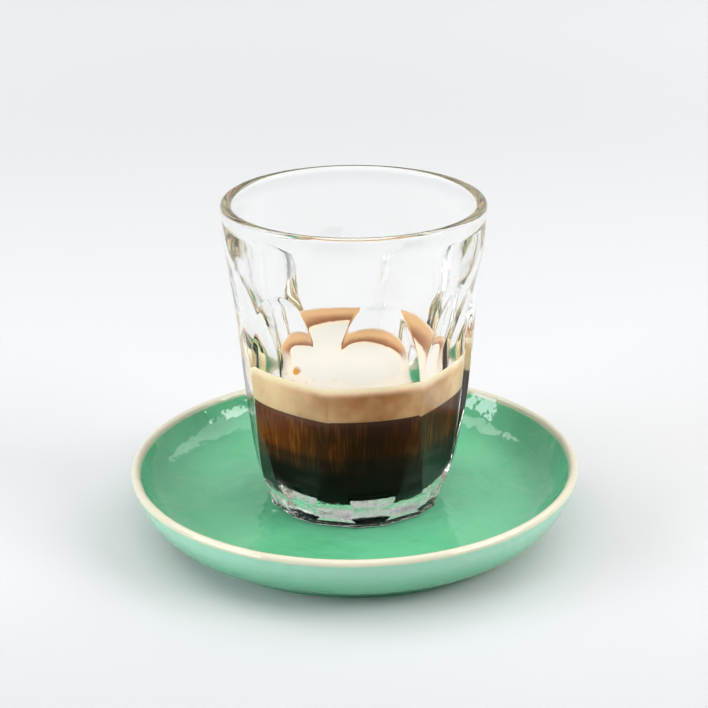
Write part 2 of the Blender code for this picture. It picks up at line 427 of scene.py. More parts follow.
class Finish:
    """Shared steps of a finish: a material with one Principled shader."""

    @staticmethod
    def start(name: str, **sockets: Any) -> tuple[Tree, Material, Node]:
        """Opens a material.

        Args:
            name: The material's name.
            sockets: Values of the Principled shader by name, with _ for a space.

        Returns:
            The tree, the material and the Principled node.
        """
        material = bpy.data.materials.new(name)
        material.use_nodes = True
        tree = Tree(material.node_tree)
        shader = material.node_tree.nodes["Principled BSDF"]
        for key, value in sockets.items():
            tree.feed(shader.inputs[key.replace("_", " ")], value)
        return tree, material, shader

    @staticmethod
    def drift(tree: Tree, where: Any, scale: float, low: float = 0.0, high: float = 1.0) -> Socket:
        """Places the slow uneven tone, which goes from low to high, in a material."""
        node = tree.add(
            "ShaderNodeGroup", {"node_tree": GroupMaker.drift()},
            Vector=where, Scale=scale, Low=low, High=high,
        )
        return node.outputs["Value"]

    @staticmethod
    def froth(tree: Tree, where: Any, scale: float, share: float) -> tuple[Socket, Socket]:
        """Places the fine froth in a material, and gives its height and its mask of pits."""
        node = tree.add(
            "ShaderNodeGroup", {"node_tree": GroupMaker.froth()},
            Vector=where, Scale=scale, Share=share,
        )
        return node.outputs["Height"], node.outputs["Pits"]

    @staticmethod
    def bump(tree: Tree, shader: Node, height: Any, strength: float, distance: float) -> None:
        """Feeds a height through a Bump node to the shader's normal."""
        node = tree.add("ShaderNodeBump", Height=height, Strength=strength, Distance=distance)
        tree.feed(shader.inputs["Normal"], node.outputs["Normal"])


@dataclass(frozen=True)
class ClearGlass(Finish):
    """Clear pressed glass: slowly uneven, more so near the base, where it is grained too.

    Glass that light crosses for long turns it a little olive.
    """

    tint: Color = (0.992, 0.992, 0.99)
    gloss: Color = (0.13, 0.13, 0.13)
    ior: float = 1.5
    kept: Color = (0.5, 0.5, 0.35)
    density: float = 4.0
    relief: float = 0.5
    relief_depth: float = 0.05 * MM
    ripple_scale: float = 140.0
    ripple_span: Span = (26.0 * MM, 12.0 * MM)
    ripple_high: float = 0.3
    ripple_low: float = 5.0
    grain_scale: float = 520.0
    grain_span: Span = (19.0 * MM, 15.0 * MM)
    grain_low: float = 2.2

    def material(self) -> Material:
        """Makes the finish."""
        tree, material, shader = self.start(
            "clear_glass", Base_Color=self.tint, Roughness=0.0, IOR=self.ior,
            Transmission_Weight=1.0, Specular_Tint=self.gloss,
        )
        where = tree.position()
        height = tree.part(where, "Z")
        pressed = tree.span(height, *self.ripple_span, self.ripple_high, self.ripple_low)
        grained = tree.span(height, *self.grain_span, 0.0, self.grain_low)
        ripple = tree.times(self.drift(tree, where, self.ripple_scale), pressed)
        grain = tree.times(self.drift(tree, where, self.grain_scale), grained)
        self.bump(tree, shader, tree.plus(ripple, grain), self.relief, self.relief_depth)
        depth = tree.add("ShaderNodeVolumeAbsorption", Color=self.kept, Density=self.density)
        output = material.node_tree.nodes["Material Output"]
        tree.feed(output.inputs["Volume"], depth.outputs["Volume"])
        return material


@dataclass(frozen=True)
class Glaze(Finish):
    """Glossy green glaze that breaks to cream on the lip, and is painted paler on the outside, as
    painted light bounced from the floor.

    It reads the mark "lip", and the mark of painted light on the outside.
    """

    green: Color = paint(102, 184, 140)
    pooled: Color = paint(88, 172, 127)
    # Painted light: the paler green of the outer wall.
    painted_bounce_mint: Color = paint(150, 204, 178)
    cream: Color = paint(202, 196, 174)
    edge: Color = paint(190, 194, 158)
    roughness: float = 0.04
    more_rough: float = 0.02
    slow_scale: float = 28.0
    fleck_scale: float = 420.0
    fleck: float = 0.12
    edge_span: Span = (0.1, 0.6)
    cream_span: Span = (0.4, 0.95)
    wave_scale: float = 75.0
    wave_relief: float = 0.8
    wave_depth: float = 0.5 * MM

    def material(self) -> Material:
        """Makes the finish."""
        tree, material, shader = self.start("green_glaze", IOR=1.5, Specular_IOR_Level=0.5)
        where = tree.position()
        slow = self.drift(tree, where, self.slow_scale)
        flecks = self.drift(tree, where, self.fleck_scale, -self.fleck, self.fleck)
        lip = tree.plus(tree.mark("lip"), flecks)
        # Painted light: the outside mark makes the outer wall paler.
        body = tree.mix(tree.mark("painted_bounce"), tree.mix(slow, self.pooled, self.green), self.painted_bounce_mint)
        broken = tree.mix(tree.span(lip, *self.edge_span), body, self.edge)
        color = tree.mix(tree.span(lip, *self.cream_span), broken, self.cream)
        rough = tree.plus(tree.times(slow, self.more_rough), self.roughness)
        tree.feed(shader.inputs["Base Color"], color)
        tree.feed(shader.inputs["Roughness"], rough)
        wave = self.drift(tree, where, self.wave_scale)
        self.bump(tree, shader, wave, self.wave_relief, self.wave_depth)
        return material


@dataclass(frozen=True)
class CoffeeFinish(Finish):
    """Dark coffee with painted light below the crema: a warmer brown and amber streaks where light
    would shine through it, and a lighter haze at its top, partly its own colour and mostly painted
    light. It reads the marks of painted glow and of haze.
    """

    dark: Color = paint(22, 11, 7)
    # brown and amber are the colours of the painted light in the coffee.
    brown: Color = paint(112, 56, 16)
    amber: Color = paint(172, 102, 34)
    haze_and_glow: Color = paint(116, 74, 56)
    fine_scale: float = 1350.0
    fine_rise: float = 0.04
    wide_scale: float = 190.0
    wide_rise: float = 0.1
    streak_span: Span = (0.8, 1.8)
    streak_share: float = 0.58

    def material(self) -> Material:
        """Makes the finish."""
        tree, material, shader = self.start(
            "dark_coffee", Roughness=0.25, Specular_IOR_Level=0.03
        )
        where = tree.position()
        fine = self.drift(tree, tree.drawn_up(where, self.fine_rise), self.fine_scale)
        wide = self.drift(tree, tree.drawn_up(where, self.wide_rise), self.wide_scale)
        # Painted light: the glow mark turns the coffee from dark to brown and lights amber streaks,
        # where light would shine through it.
        painted_glow = tree.mark("painted_glow")
        streaks = tree.span(tree.plus(fine, wide), *self.streak_span)
        light = tree.times(streaks, tree.math("POWER", painted_glow, 0.8))
        painted_warm = tree.mix(painted_glow, self.dark, self.brown)
        lit_streaks = tree.mix(tree.times(light, self.streak_share), painted_warm, self.amber)
        # The haze mark is partly the coffee's lighter top and mostly painted light, as it follows
        # the glow.
        color = tree.mix(tree.mark("haze_and_glow"), lit_streaks, self.haze_and_glow)
        tree.feed(shader.inputs["Base Color"], color)
        return material


@dataclass(frozen=True)
class CremaFinish(Finish):
    """Tan froth at the side, and a brown ring round white milk on top.

    It reads the marks "side", "rise", the mark of painted glow, "film", "milk", "crater" and
    "back". At the side light gets through it: it scatters inside. The side also has painted light:
    it is paler away from the front and darker in front, and an emission gives a painted glow there
    and along its upper edge.
    """

    tan: Color = paint(182, 108, 50)
    pale: Color = paint(255, 218, 164)
    rim_cream: Color = paint(255, 230, 194)
    film: Color = paint(240, 222, 198)
    brown: Color = paint(160, 98, 58)
    light_brown: Color = paint(236, 190, 138)
    yellow_cream: Color = paint(254, 232, 200)
    front_tan: Color = paint(248, 236, 218)
    milk: Color = paint(239, 233, 221)
    crater: Color = paint(222, 150, 30)
    side_scatter: float = 0.6
    # Strengths of the painted glow: an emission along the side's upper edge and away from the
    # front.
    painted_edge_glow: float = 0.2
    painted_side_glow: float = 0.075
    depth_of_light: float = 2.2 * MM
    tone_scale: float = 160.0
    tone_share: float = 0.3
    # How far the painted light turns the side from tan to pale.
    glow_share: float = 0.85
    edge_scale: float = 330.0
    edge_swing: float = 0.16
    froth_scale: float = 2600.0
    froth_relief: float = 0.3
    froth_depth: float = 0.05 * MM
    froth_brown: float = 0.25
    bubble_scale: float = 1150.0
    bubble_brown: float = 3.6
    open_share: float = 0.12
    ring_span: Span = (-4.4, 0.3)
    cream_span: Span = (0.35, 0.95)
    milk_span: Span = (0.8, 2.4)

    def side_color(self, tree: Tree, where: Socket) -> Socket:
        """The side's colour: tan to pale by painted light, paler away from the front, cream at the
        upper edge, with bubbles below that.
        """
        drift = self.drift(tree, where, self.tone_scale)
        # Painted light: the glow mark turns the side paler away from the front, and leaves it
        # darker in front.
        painted_glow = tree.times(tree.mark("painted_glow"), self.glow_share)
        body = tree.mix(tree.plus(tree.times(drift, self.tone_share), painted_glow), self.tan, self.pale)
        rise = tree.mark("rise")
        side = tree.mix(rise, body, self.rim_cream)
        midway = tree.times(tree.times(rise, tree.minus(1.0, rise)), self.bubble_brown)
        pits = self.froth(tree, where, self.bubble_scale, self.open_share)[1]
        return tree.mix(tree.times(pits, midway), side, self.brown)

    def top_color(self, tree: Tree, where: Socket) -> Socket:
        """The top's colour, by how milky it is: a ring, browner at the back, round the milk."""
        edge = self.drift(tree, where, self.edge_scale, -self.edge_swing, self.edge_swing)
        milky = tree.plus(tree.mark("milk"), edge)
        back = tree.mark("back")
        ring = tree.mix(tree.span(milky, *self.ring_span), self.light_brown, self.brown)
        ring = tree.mix(tree.mark("film"), tree.mix(back, self.front_tan, ring), self.film)
        cream = tree.mix(back, self.front_tan, self.yellow_cream)
        inner = tree.mix(tree.span(milky, *self.cream_span), ring, cream)
        top = tree.mix(tree.span(milky, *self.milk_span), inner, self.milk)
        return tree.mix(tree.mark("crater"), top, self.crater)

    def material(self) -> Material:
        """Makes the finish."""
        tree, material, shader = self.start(
            "tan_crema", Roughness=0.6, Specular_IOR_Level=0.1,
            Subsurface_Scale=self.depth_of_light, Subsurface_Radius=(1.0, 0.8, 0.6),
            Emission_Color=self.yellow_cream,
        )
        where = tree.position()
        side = tree.mark("side")
        # Painted glow: an emission on the side, along its upper edge and away from the front.
        risen = tree.times(tree.mark("rise"), self.painted_edge_glow)
        through = tree.plus(risen, tree.times(tree.mark("painted_glow"), self.painted_side_glow))
        color = tree.mix(side, self.top_color(tree, where), self.side_color(tree, where))
        height, pits = self.froth(tree, where, self.froth_scale, self.open_share)
        pitted = tree.mix(tree.times(pits, self.froth_brown), color, self.brown)
        tree.feed(shader.inputs["Base Color"], pitted)
        tree.feed(shader.inputs["Subsurface Weight"], tree.times(side, self.side_scatter))
        tree.feed(shader.inputs["Emission Strength"], tree.times(side, through))
        self.bump(tree, shader, height, self.froth_relief, self.froth_depth)
        return material


@dataclass(frozen=True)
class FloorFinish(Finish):
    """A pale, faintly glossy surface with painted shading: a little greyer in front and paler far
    away.
    """

    front: Color = paint(186, 186, 188)
    near: Color = paint(202, 202, 203)
    far: Color = paint(220, 220, 221)
    front_span: Span = (-10.0 * MM, -140.0 * MM)
    far_span: Span = (0.40, 0.90)

    def material(self) -> Material:
        """Makes the finish."""
        tree, material, shader = self.start("pale_floor", Roughness=0.42, IOR=1.4)
        where = tree.position()
        reach = tree.add("ShaderNodeVectorMath", {"operation": "LENGTH"})
        tree.feed(reach.inputs[0], where)
        # Painted shading: greyer in front and paler far away, on one even table.
        forward = tree.span(tree.part(where, "Y"), *self.front_span)
        far = tree.span(reach.outputs["Value"], *self.far_span)
        color = tree.mix(far, tree.mix(forward, self.near, self.front), self.far)
        tree.feed(shader.inputs["Base Color"], color)
        return material


@dataclass
class Tumbler:
    """The thick tumbler: a turned body whose outside is cut by eight shallow flutes.

    The body, the flutes' beds and their hollows are curves through stations of height and
    radius or depth. The inner wall is hollowed a little under the lip.
    """

    base: float
    height: float
    flutes: int = 8
    first_flute: float = math.radians(10.4)
    flute_steps: int = 28
    web_steps: int = 10
    bevel: float = math.radians(0.2)
    least_half: float = math.radians(1.2)
    arch_top: float = 68.4 * MM
    plain_from: float = 69.4 * MM
    flat_webs_to: float = 14.0 * MM
    round_webs_from: float = 22.0 * MM
    lip_rise: float = 1.35 * MM
    lip_outer_reach: float = 1.3 * MM
    lip_inner_reach: float = 1.7 * MM
    foot_round: float = 0.5 * MM
    floor: float = 7.0 * MM
    corner_stretch: float = 1.25
    underside: Stations = in_mm((0.0, 1.0), (13.0, 0.8), (20.5, 0.0), (24.0, 0.0))
    outside: Stations = in_mm(
        (0.5, 24.8), (1.5, 24.84), (1.9, 24.95), (5.2, 26.12), (7.6, 27.08), (8.4, 27.4),
        (12.3, 28.5), (21.4, 30.0), (30.0, 31.6), (43.0, 32.8), (58.0, 33.7), (62.0, 33.95),
        (67.0, 34.3), (73.0, 35.1), (78.0, 35.6), (84.95, 36.0),
    )
    bed: Stations = in_mm(
        (-1.0, 24.5), (2.4, 24.62), (5.2, 25.65), (7.6, 26.58), (12.3, 27.5), (25.0, 28.9),
        (34.0, 29.65), (43.0, 30.5), (51.0, 31.35), (60.0, 32.75), (63.5, 33.37),
        (66.0, 33.84), (68.2, 34.35), (71.5, 36.2),
    )
    hollow: Stations = in_mm(
        (-1.0, 0.15), (12.3, 0.3), (34.0, 0.3), (45.0, 0.8), (52.0, 1.7), (57.0, 1.3),
        (62.0, 0.85), (66.0, 0.45), (68.2, 0.0), (71.5, 0.0),
    )
    inside: Stations = in_mm(
        (13.0, 22.0), (28.0, 23.5), (41.0, 25.1), (60.0, 28.7), (80.0, 32.85), (82.8, 33.4),
        (84.95, 33.0),
    )

    @property
    def pitch(self) -> float:
        """The angle from one flute to the next."""
        return TURN / self.flutes

    @property
    def corner_top(self) -> float:
        """The height at which the hollow's rounded corner meets the inner wall."""
        return self.inside[0][0]

    @property
    def lip_height(self) -> float:
        """The height at which the lip starts to round over."""
        return self.height - self.lip_rise

    def half_angle(self, heights: Floats) -> Floats:
        """Half a flute's width as an angle: the arc cosine of its bed over the body's radius."""
        share = radius_at(self.bed, heights) / radius_at(self.outside, heights)
        half = np.arccos(np.clip(share, 0.0, 1.0))
        return np.where(heights > self.arch_top, 0.0, half)

    def columns(self, halves: Floats) -> Floats:
        """Azimuths of the grid's columns, which run along each flute's two edges.

        A sector goes from mid web to mid web. Its web, narrow bevel, flute, bevel and web are
        each split evenly, so that the columns open and close with the flute.

        Args:
            halves: Half a flute's angle at each row.

        Returns:
            Azimuths, rows by segments.
        """
        half_pitch = self.pitch / 2.0
        half = np.clip(halves, self.least_half, half_pitch - 3.0 * self.bevel)[:, None]
        web = np.linspace(0.0, 1.0, self.web_steps, endpoint=False)[None, :]
        across = np.linspace(-1.0, 1.0, self.flute_steps)[None, :]
        edge = half + self.bevel
        left = -half_pitch + web * (half_pitch - edge)
        right = edge + web * (half_pitch - edge)
        middle = across * (half - self.bevel)
        sector = np.concatenate([left, -edge, middle, right], axis=1)
        starts = self.first_flute + self.pitch * np.arange(self.flutes)
        turns = sector[:, None, :] + starts[None, :, None]
        return turns.reshape(len(halves), -1)

    def outer_radius(self, turns: Floats, heights: Floats) -> Floats:
        """The outside: the lesser of the turned body and the bed of the flute at hand.

        A bed is flat across, so at an angle from the flute's middle its radius is the bed's
        distance from the axis over the cosine of the angle. The hollow is a parabola between
        the flute's edges and is taken off that. Near the foot the webs are flat too: their
        radius is the body's times the cosine of half the web's angle over that of the angle
        from mid web.

        Args:
            turns: Azimuths, rows by segments.
            heights: Heights, one for each row.

        Returns:
            Radii, rows by segments.
        """
        half_pitch = self.pitch / 2.0
        off = (turns - self.first_flute + half_pitch) % self.pitch - half_pitch
        half = np.maximum(self.half_angle(heights), self.least_half)[:, None]
        web_half = half_pitch - half
        off_web = np.minimum(half_pitch - np.abs(off), web_half)
        flat = np.minimum(np.cos(web_half) / np.cos(off_web), 1.0)
        share = 1.0 - smooth_step(self.flat_webs_to, self.round_webs_from, heights)[:, None]
        body = radius_at(self.outside, heights)[:, None] * (1.0 + share * (flat - 1.0))
        bow = np.clip(1.0 - (np.tan(off) / np.tan(half)) ** 2, 0.0, 1.0)
        depth = radius_at(self.hollow, heights)[:, None] * bow
        bed = (radius_at(self.bed, heights)[:, None] - depth) / np.cos(off)
        return np.where(heights[:, None] > self.arch_top, body, np.minimum(body, bed))

    def inner_radius(self, heights: Floats) -> Floats:
        """The hollow's radius above its rounded corner."""
        return radius_at(self.inside, heights)

    def corner(self, angles: Floats, inset: float = 0.0) -> tuple[Floats, Floats]:
        """The hollow's rounded corner, a quarter of an ellipse from the floor up to the wall.

        Args:
            angles: From a right angle at the floor to 0 at the wall.
            inset: How far the curve is drawn into the hollow.

        Returns:
            Radii and heights.
        """
        top, radius = self.inside[0]
        rise = top - self.floor
        reach = rise * self.corner_stretch
        radii = radius - inset - reach * (1.0 - np.cos(angles))
        return radii, top - (rise - inset) * np.sin(angles)

    def outer_rings(self) -> list[Floats]:
        """Rings from the underside, round the foot and up the fluted wall to the lip."""
        levels = bands(
            (self.foot_round, 2.2 * MM, 7),
            (2.2 * MM, 13.0 * MM, 24),
            (13.0 * MM, 46.0 * MM, 26),
            (46.0 * MM, 62.0 * MM, 26),
            (62.0 * MM, self.plain_from, 36),
            (self.plain_from, self.lip_height, 12),
        )[:-1]
        widen = smooth_step(self.plain_from, self.lip_height, levels) * (self.pitch / 4.0)
        turns = self.columns(np.maximum(self.half_angle(levels), widen))
        wall = place(self.outer_radius(turns, levels), levels[:, None], turns)
        foot_turns = turns[:1]
        foot = self.outer_radius(foot_turns, levels[:1])
        share = bands((0.08, 0.97, 14))[:, None]
        under_heights = radius_at(self.underside, share * self.underside[-1][0])
        under = place(share * (foot - self.foot_round), under_heights, foot_turns)
        bend = np.linspace(math.pi / 2.0, 0.0, 6)[:-1, None]
        bend_radii = foot - self.foot_round * (1.0 - np.cos(bend))
        rounded = place(bend_radii, self.foot_round * (1.0 - np.sin(bend)), foot_turns)
        return [under, rounded, wall]

    def inner_rings(self) -> list[Floats]:
        """Rings over the lip, down the inner wall and round the corner to the floor.

        The lip is two quarters of ellipses, and its inner one is the wider.
        """
        turns = self.columns(np.array([self.pitch / 4.0]))
        over = np.linspace(0.0, math.pi, 25)[:, None]
        reach = np.where(np.cos(over) > 0.0, self.lip_outer_reach, self.lip_inner_reach)
        crest = self.outside[-1][1] - self.lip_outer_reach
        lip_heights = self.lip_height + self.lip_rise * np.sin(over)
        lip = place(crest + reach * np.cos(over), lip_heights, turns)
        levels = bands((self.lip_height, self.corner_top, 34))[1:-1, None]
        wall = place(self.inner_radius(levels), levels, turns)
        corner_radii, corner_heights = self.corner(np.linspace(0.0, math.pi / 2.0, 10)[:, None])
        corner = place(corner_radii, corner_heights, turns)
        floor_radii = corner_radii[-1] * np.linspace(0.85, 0.1, 5)[:, None]
        floor = place(floor_radii, np.full_like(floor_radii, self.floor), turns)
        return [lip, wall, corner, floor]

    def build(self) -> Piece:
        """Makes the tumbler's skin, from the underside's middle round to the floor's middle."""
        rings = np.concatenate(self.outer_rings() + self.inner_rings()) + (0.0, 0.0, self.base)
        first = (0.0, 0.0, self.base + self.underside[0][1])
        return closed_surface("tumbler", rings, first, (0.0, 0.0, self.base + self.floor))

    def dress(self, finish: ClearGlass) -> None:
        """Builds the tumbler and hands it over."""
        hand_over(self.build(), finish.material(), "clear_glass", "glass")


@dataclass
class Drink:
    """Coffee, crema and milk foam, each reaching just into the tumbler's wall."""

    tumbler: Tumbler
    segments: int = 320
    into_wall: float = 0.15 * MM
    coffee_top: float = 32.2 * MM
    lap: float = 0.05 * MM
    # Heights and azimuths of the painted light in the coffee, and the heights of its haze, which is
    # partly painted light.
    dim_span: Span = (15.0 * MM, 19.0 * MM)
    bright_span: Span = (19.5 * MM, 22.5 * MM)
    glow_left: float = math.radians(-56.0)
    glow_right: float = math.radians(78.0)
    haze_span: Span = (29.8 * MM, 31.8 * MM)
    crema_top: float = 41.6 * MM
    # The azimuth in front where the crema's side is painted darkest.
    crema_dim: float = math.radians(13.0)
    rise_span: Span = (0.76, 1.02)
    climb: float = 1.2 * MM
    climb_more: float = 0.4 * MM
    climb_width: float = 0.7 * MM
    film_span: Span = (-0.7 * MM, -0.1 * MM)
    seat_radius: float = 20.4 * MM
    foam_radius: float = 21.4 * MM
    foam_sink: float = 1.4 * MM
    foam_dome: float = 0.3 * MM
    foam_dense: float = 12.0 * MM
    unevenness: float = 0.06 * MM
    waves: Span = (3.0 * MM, 9.0 * MM)
    milk_middle: Span = (1.1 * MM, -3.9 * MM)
    milk_bulge: float = 2.3 * MM
    bulge_way: Span = (-0.616, 0.788)
    ring_inner: float = 18.6 * MM
    ring_outer: float = 20.1 * MM
    ring_unevenness: float = 0.35 * MM
    ring_waves: Span = (6.0 * MM, 22.0 * MM)
    back_span: Span = (-14.0 * MM, 2.0 * MM)
    crater_place: Span = (-14.5 * MM, -14.6 * MM)
    crater_radius: float = 1.6 * MM
    pinholes: tuple[Triple, ...] = in_mm(
        (-21.2, -10.1, 0.5), (-17.9, -12.0, 0.45), (-18.2, -15.1, 0.5),
        (-15.4, -18.6, 0.55), (-11.1, -19.8, 0.45), (-8.1, -18.6, 0.4),
    )

    def edge(self, heights: Floats) -> Floats:
        """The radius of the drink's side, a little inside the glass."""
        return self.tumbler.inner_radius(heights) + self.into_wall

    def on_axis(self, height: float) -> Triple:
        """The point on the axis at a height in the tumbler."""
        return (0.0, 0.0, self.tumbler.base + height)

    def stack(self, turns: Floats, *parts: tuple[Floats, Floats]) -> Floats:
        """Places rings, given as pairs of radii and heights in the tumbler, one after another."""
        base = self.tumbler.base
        return np.concatenate([place(radii, heights + base, turns) for radii, heights in parts])

    def surface_height(self, points: Floats) -> Floats:
        """The drink's top: level, slightly uneven, and climbing the wall.

        It climbs by e^(-distance/width), a little more at the back than at the front.

        Args:
            points: Points on the level, rows by segments by three.

        Returns:
            Heights in the tumbler.
        """
        radii = off_axis(points)
        wall = self.edge(np.array([self.crema_top]))[0]
        backward = points[..., 1] / np.maximum(radii, 1.0 * MM)
        near_wall = np.exp(-np.maximum(wall - radii, 0.0) / self.climb_width)
        climb = (self.climb + self.climb_more * backward) * near_wall
        return self.crema_top + climb + self.unevenness * wavy(points, self.waves, 24, 5)

    def painted_glow(self, turns: Floats, heights: Floats) -> Floats:
        """Painted light in the coffee: strongest under the crema and on the left, weaker on the
        right.
        """
        rise = 0.25 * smooth_step(*self.dim_span, heights)
        rise = rise + 0.75 * smooth_step(*self.bright_span, heights)
        left = 0.5 + 0.5 * np.cos(turns - self.glow_left)
        right = 0.5 + 0.5 * np.cos(turns - self.glow_right)
        return rise * (0.05 + 0.95 * left**10 + 0.4 * right**6)

    def build_coffee(self) -> Piece:
        """Makes the coffee from the floor's middle, round the corner, up the wall and over."""
        turns = azimuths(self.segments)
        angles = np.linspace(math.pi / 2.0, 0.0, 10)[:, None]
        bend, bend_heights = self.tumbler.corner(angles, -self.into_wall)
        flat = bend[0] * np.linspace(0.1, 0.85, 5)[:, None]
        levels = bands((self.tumbler.corner_top, self.coffee_top + self.lap, 50))[1:, None]
        wall = self.edge(levels)
        top = wall[-1] * np.linspace(0.97, 0.1, 8)[:, None]
        lowest, highest = float(bend_heights[0, 0]), float(levels[-1, 0])
        low, high = np.full_like(flat, lowest), np.full_like(top, highest)
        radii = np.concatenate([flat, bend, wall, top])
        heights = np.concatenate([low, bend_heights, levels, high])
        rings = self.stack(turns, (radii, heights))
        # Marks of painted light: the glow, and the haze, which mostly follows it.
        painted_glow = self.painted_glow(turns[None, :], heights)
        upper = smooth_step(*self.haze_span, heights)
        marks = {"painted_glow": painted_glow, "haze_and_glow": (0.15 + 0.65 * painted_glow**1.5) * upper}
        first, last = self.on_axis(lowest), self.on_axis(highest)
        return closed_surface("coffee_body", rings, first, last, marks)

    def build_crema(self) -> Piece:
        """Makes the crema from its underside's middle, up the wall and in to the foam's seat."""
        turns = azimuths(self.segments)
        under = self.edge(np.array([self.coffee_top]))[0] * np.linspace(0.1, 0.99, 6)[:, None]
        full = self.crema_top + self.climb - self.climb_more * np.cos(turns)[None, :]
        rising = np.linspace(0.0, 1.0, 27)[:, None]
        levels = self.coffee_top + rising * (full - 0.1 * MM - self.coffee_top)
        top_edge = self.edge(full) - 0.06 * MM
        inward = bands((0.0, 0.4, 18), (0.4, 1.0, 16))[:, None]
        top = top_edge - inward * (top_edge - self.seat_radius)
        seat = np.linspace(self.seat_radius - 0.2 * MM, 2.0 * MM, 5)[:, None]
        seat_height = self.crema_top - self.foam_sink
        parts = (
            (under, np.full_like(under, self.coffee_top)),
            (self.edge(levels), levels),
            (top, self.surface_height(place(top, np.zeros_like(top), turns))),
            (seat, np.full_like(seat, seat_height)),
        )
        rings = self.stack(turns, *parts)
        counts = [len(radii) for radii, _ in parts]
        sided = np.repeat([1.0, 1.0, 0.0, 0.0], counts)[:, None] * np.ones(len(turns))
        tall = rings[..., 2] - self.tumbler.base - self.coffee_top
        rise = smooth_step(*self.rise_span, tall / (self.crema_top - self.coffee_top))
        # Painted light: the side is paler, and glows, away from the front, and is darker in front.
        toward = 0.5 - 0.5 * np.cos(turns - self.crema_dim)
        bright = np.clip(1.9 * toward**0.6, 0.0, 1.0) * np.ones_like(rise)
        film = smooth_step(*self.film_span, off_axis(rings) - top_edge)
        marks = {"side": sided, "rise": rise, "painted_glow": bright, "film": film}
        marks.update(self.top_marks(rings))
        first, last = self.on_axis(self.coffee_top), self.on_axis(seat_height)
        return closed_surface("crema_layer", rings, first, last, marks)

    def build_foam(self) -> Piece:
        """Makes the foam: a flat underside, a short side, and a low dome with one open bubble."""
        turns = azimuths(self.segments)
        bottom = self.crema_top - self.foam_sink + 0.2 * MM
        under = self.foam_radius * np.linspace(0.1, 0.97, 5)[:, None]
        side = np.linspace(bottom, self.crema_top - 0.25 * MM, 3)[:, None]
        rim = self.foam_radius - 0.05 * MM
        over = bands((rim, self.foam_dense, 48), (self.foam_dense, 0.4 * MM, 30))[:, None]
        flat = place(over, np.zeros_like(over), turns)
        dome = self.foam_dome * (1.0 - (over / self.foam_radius) ** 2)
        step = 0.02 * MM * smooth_step(0.0, 0.8 * MM, self.foam_radius - over)
        heights = self.surface_height(flat) + dome + step - self.crater(flat)
        parts = (
            (under, np.full_like(under, bottom)),
            (np.full_like(side, self.foam_radius), side),
            (over, heights),
        )
        rings = self.stack(turns, *parts)
        none = np.zeros(rings.shape[:2])
        marks = {"side": none, "rise": none, "painted_glow": none, "film": none}
        marks.update(self.top_marks(rings))
        first, last = self.on_axis(bottom), self.on_axis(float(heights[-1].mean()))
        return closed_surface("milk_foam_cap", rings, first, last, marks)

    def top_marks(self, points: Floats) -> dict[str, Floats]:
        """The marks that colour the top.

        "milk" is 1 or more inside the ring's inner edge and 0 or less outside the ring. "back"
        goes from 0 at the front, where milk runs to the wall, to 1 at the back, where the ring
        is brown. "crater" is 1 in the open bubble and half of that in the pinholes.

        Args:
            points: Points, rows by segments by three.

        Returns:
            Values for each point, by the mark's name.
        """
        return {
            "milk": self.milk(points),
            "back": smooth_step(*self.back_span, points[..., 1]),
            "crater": self.crater_mask(points),
        }

    def milk(self, points: Floats) -> Floats:
        """How milky the top is: the way in from the ring's outer edge over the ring's width.

        The milk is a circle with a bulge that grows with the sixth power of the cosine of the
        angle from the bulge's direction.

        Args:
            points: Points, rows by segments by three.

        Returns:
            One value for each point.
        """
        across = points[..., 0] - self.milk_middle[0]
        along = points[..., 1] - self.milk_middle[1]
        radii = np.hypot(across, along)
        toward = across * self.bulge_way[0] + along * self.bulge_way[1]
        bulge = self.milk_bulge * np.clip(toward / np.maximum(radii, 1.0 * MM), 0.0, 1.0) ** 6
        waves = wavy(points * (1.0, 1.0, 0.0), self.ring_waves, 20, 11)
        inward = self.ring_outer + bulge - radii - self.ring_unevenness * waves
        return inward / (self.ring_outer - self.ring_inner)

    def crater_mask(self, points: Floats) -> Floats:
        """1 inside the open bubble, half of that in the pinholes beside it, and 0 outside."""
        away = off_axis(points, self.crater_place)
        mask = 1.0 - smooth_step(0.7, 1.05, away / self.crater_radius)
        for across, along, radius in self.pinholes:
            away = off_axis(points, (across, along))
            mask = np.maximum(mask, 0.5 - 0.5 * smooth_step(0.5, 1.1, away / radius))
        return mask

    def crater(self, points: Floats) -> Floats:
        """The depth of the open bubble: half a sphere."""
        share = off_axis(points, self.crater_place) / self.crater_radius
        return self.crater_radius * np.sqrt(np.clip(1.0 - share**2, 0.0, 1.0))

    def dress(self, coffee: CoffeeFinish, crema: CremaFinish) -> None:
        """Builds the three layers and hands them over."""
        froth = crema.material()
        hand_over(self.build_coffee(), coffee.material(), "coffee", "coffee")
        hand_over(self.build_crema(), froth, "crema", "crema")
        hand_over(self.build_foam(), froth, "milk_foam", "milk_foam")


